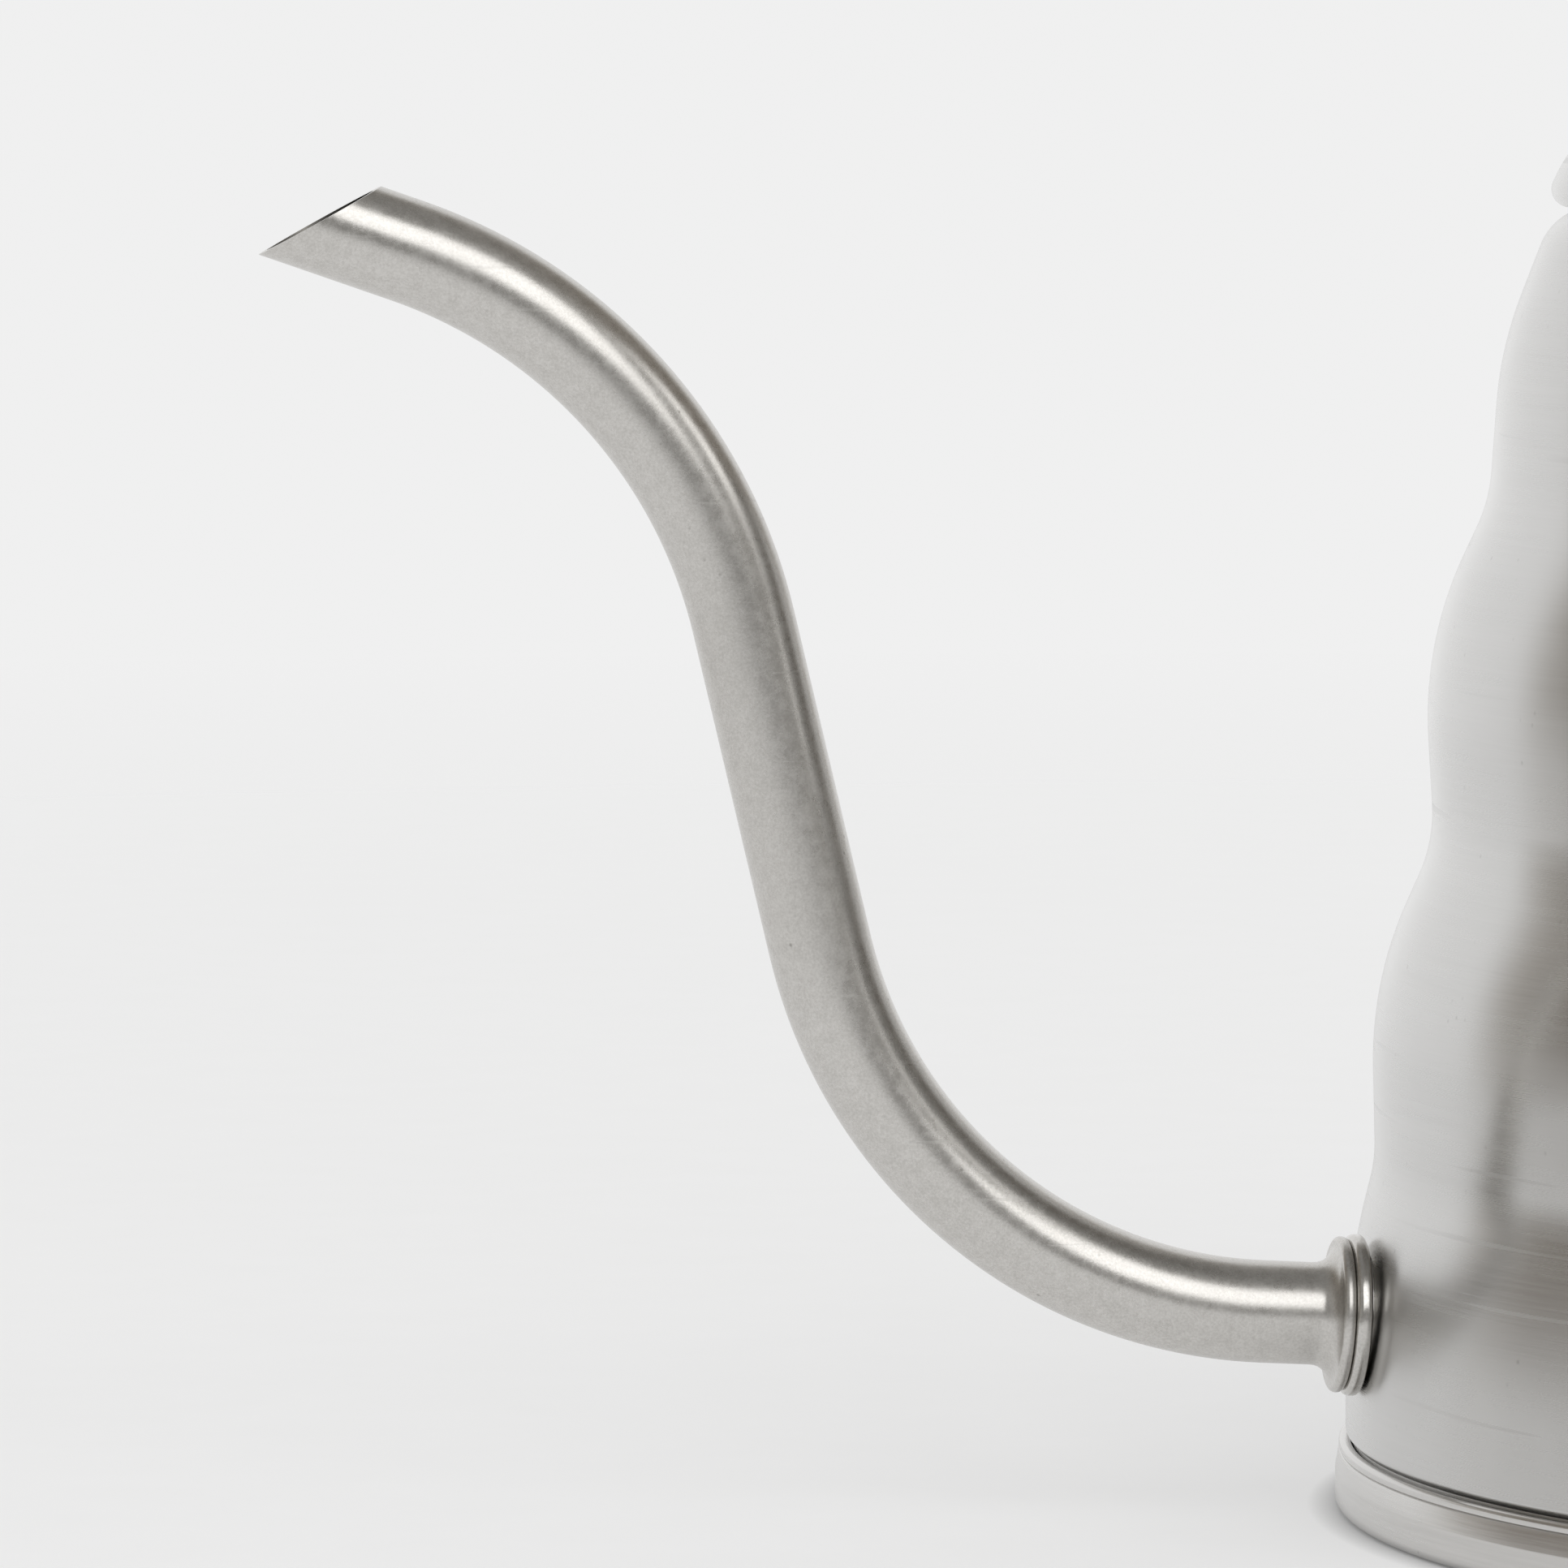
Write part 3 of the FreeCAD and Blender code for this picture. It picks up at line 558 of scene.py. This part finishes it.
def beadPoint(angle):  # on the rolled edge, 0 is straight out
    x, z = lidShape["beadCentre"]
    turn = math.radians(angle)
    return Vector((x + lidShape["bead"] * math.cos(turn), 0, z + lidShape["bead"] * math.sin(turn))) * mm


edge = beadPoint(lidShape["flank"]) / mm
lidCorners = [
    (lidShape["screwHole"], lidShape["top"], 0), (lidShape["seat"], lidShape["top"], lidShape["seatRounding"]),
    (*lidShape["shoulder"], lidShape["shoulderRounding"]), (edge.x, edge.z, 0),
]
lidLine = softLine(lidCorners, lidShape["arcStep"])
curl = lidShape["curlEnd"] - lidShape["flank"]
for k in range(1, lidShape["curlSteps"] + 1):
    lidLine.append(beadPoint(lidShape["flank"] + curl * k / lidShape["curlSteps"]))
lidDome = turnedLine("lidDome", lidLine, lidShape["spinSteps"])
thicken(lidDome, lidShape["sheet"])
for k in range(lidShape["vents"]):
    angle = 2 * math.pi * (k + 0.5) / lidShape["vents"]
    x, y = lidShape["ventCircle"] * math.cos(angle), lidShape["ventCircle"] * math.sin(angle)
    cutAway(lidDome, drillBit(lidShape["vent"], lidShape["ventDepth"], (x, y, lidShape["ventHeight"])))
dress(lidDome, "lid", "lid_steel", lidSteel, "lid_dome")

# Lid skirt
skirtShape = dict(sheet=0.6, arcStep=6.0, spinSteps=192,
                  corners=[(50.3, 115.9, 0), (44.6, 115.9, 1.2), (44.6, 107.9, 0)])
lidSkirt = turnedPiece("lidSkirt", skirtShape)
thicken(lidSkirt, skirtShape["sheet"], side=1)
dress(lidSkirt, "lid", "lid_steel", lidSteel, "lid_skirt")

# Cup under the knob
cupShape = dict(
    arcStep=10.0, spinSteps=128,
    corners=[(2.2, 130.03, 0), (11.0, 130.03, 0), (11.0, 131.03, 0.5), (2.2, 131.03, 0), (2.2, 130.03, 0)],
)
knobCup = turnedPiece("knobCup", cupShape)
dress(knobCup, "lid", "fitting_steel", fittingSteel, "knob_cup")

# Knob, from the pocket for its insert round to the crown
knobShape = dict(
    arcStep=5.0, spinSteps=128,
    corners=[(0, 139.13, 0), (3.25, 139.13, 0), (3.25, 131.03, 0), (8.6, 131.03, 0.8), (7.0, 135.63, 6.0),
             (13.4, 140.63, 2.2), (11.6, 145.43, 4.0), (0, 147.03, 0)],
)
lidKnob = turnedPiece("lidKnob", knobShape)
dress(lidKnob, "lid", "dark_phenolic", darkPhenolic, "lid_knob")

# The other CAD solids keep their shape and take a finish
keptFinish = dict(
    handle_grip=darkPhenolic, handle_upper_bracket=fittingSteel, handle_lower_bracket=fittingSteel,
    handle_screws=screwSteel, handle_washers=screwSteel, handle_inserts=insertBrass,
    knob_insert=insertBrass, knob_washer=screwSteel, knob_screw=screwSteel,
)
for nodeName, finish in keptFinish.items():
    nodes[nodeName].data.materials.clear()
    nodes[nodeName].data.materials.append(finish)
print("kept solids dressed:", len(keptFinish))

# Floor that fades into the pale air round it, in metres; its emission paints light into its own shadow and stops
# round the base, which paints a contact shade there
floorLook = dict(
    radius=1.6, rimPoints=96, height=-0.0001, light=(0.47, 0.47, 0.47), dark=(0.45, 0.45, 0.447),
    speckle=(90.0, 4.0), roughness=0.9, specular=0.1, fade=(0.3, 1.2, 1.0, 0.0),
    # painted light and shade: emission lightens the floor's shadow, and none within 74.5 mm of the axis paints a
    # dark contact shade round the base
    glowWithPaintedContactShade=(0.070, 0.0745, 0.0, 0.44),  # none under the base
)
bpy.ops.object.select_all(action="DESELECT")
bpy.ops.mesh.primitive_circle_add(
    vertices=floorLook["rimPoints"], radius=floorLook["radius"], fill_type="NGON",
    location=(0, 0, floorLook["height"]))
floor = bpy.context.object
floor.name = "studioFloor"
applyPlace()
floorPaper, tree, shader = newFinish("floorPaper", 0.0)
shader.inputs["Roughness"].default_value = floorLook["roughness"]
shader.inputs["Specular IOR Level"].default_value = floorLook["specular"]
shader.inputs["Emission Color"].default_value = (1, 1, 1, 1)
place = addNode(tree, "ShaderNodeTexCoord").outputs["Object"]
speckle = noiseOn(tree, place, *floorLook["speckle"])
tree.links.new(mixTone(tree, speckle, floorLook["dark"], floorLook["light"]), shader.inputs["Base Color"])
distance = addNode(tree, "ShaderNodeVectorMath", operation="LENGTH")
tree.links.new(place, distance.inputs[0])
fade = rangeOn(tree, distance.outputs["Value"], *floorLook["fade"])
tree.links.new(fade, shader.inputs["Alpha"])
# painted light and shade: the floor's emission lightens its shadow but stops round the base, which paints a contact
# shade there
glowWithPaintedContactShade = rangeOn(tree, distance.outputs["Value"], *floorLook["glowWithPaintedContactShade"])
tree.links.new(glowWithPaintedContactShade, shader.inputs["Emission Strength"])
floor.data.materials.append(floorPaper)
print("floor laid")

# Air round the object, as steel mirrors it: darker towards the camera and above, pale behind
airLook = dict(
    seen=(0.87, 0.87, 0.87), onFloor=(0.72, 0.72, 0.72), above=(0.27, 0.265, 0.255), raised=(0.66, 0.95),
    depth=[(0.0, (0.26, 0.255, 0.245)), (0.30, (0.40, 0.39, 0.37)), (0.50, (0.24, 0.215, 0.185)),
           (0.70, (0.24, 0.215, 0.185)), (0.79, (0.47, 0.445, 0.41)), (0.85, (0.93, 0.93, 0.93))],
)
air = bpy.data.worlds.new("studioAir")
scene.world = air
air.use_nodes = True
tree = air.node_tree
background = tree.nodes["Background"]
direction = addNode(tree, "ShaderNodeSeparateXYZ")
tree.links.new(addNode(tree, "ShaderNodeTexCoord").outputs["Generated"], direction.inputs[0])
depthTone = rampOn(tree, rangeOn(tree, direction.outputs["Y"], -1.0, 1.0), airLook["depth"])
raised = rangeOn(tree, direction.outputs["Z"], *airLook["raised"])
mirrored = mixTone(tree, raised, depthTone, airLook["above"])
path = addNode(tree, "ShaderNodeLightPath")
tone = mixTone(tree, path.outputs["Is Glossy Ray"], airLook["onFloor"], mirrored)
tone = mixTone(tree, path.outputs["Is Camera Ray"], tone, airLook["seen"])
tree.links.new(tone, background.inputs["Color"])
print("air ready")


def addSoftbox(name, place, aim, width, height, power):
    lamp = bpy.data.lights.new(name, "AREA")
    lamp.shape = "RECTANGLE"
    lamp.size = width
    lamp.size_y = height
    lamp.energy = power
    box = bpy.data.objects.new(name, lamp)
    scene.collection.objects.link(box)
    box.location = place
    box.rotation_euler = (Vector(aim) - Vector(place)).to_track_quat("-Z", "Y").to_euler()
    box.visible_camera = False


# Lights, in metres and watts
frontBox = dict(place=(0.42, -2.0, 1.5), aim=(-0.08, 0, 0.06), width=2.4, height=1.6, power=19.0)
rightStrip = dict(place=(1.07, -0.33, 0.5), aim=(-0.1, 0, 0.07), width=0.35, height=0.9, power=1.4)
addSoftbox("frontBox", **frontBox)
addSoftbox("rightStrip", **rightStrip)
print("lights placed")

# Camera where the photograph was taken from
cameraView = dict(place=(-0.20260, -0.76904, 0.12650), pitch=85.5, yaw=-6.0, lens=204.97, sensor=36.0,
                  near=0.05, far=50.0)
lens = bpy.data.cameras.new("photoCamera")
lens.lens = cameraView["lens"]
lens.sensor_width = cameraView["sensor"]
lens.clip_start = cameraView["near"]
lens.clip_end = cameraView["far"]
camera = bpy.data.objects.new("photoCamera", lens)
scene.collection.objects.link(camera)
camera.location = cameraView["place"]
camera.rotation_euler = (math.radians(cameraView["pitch"]), 0, math.radians(cameraView["yaw"]))
scene.camera = camera
print("camera set")
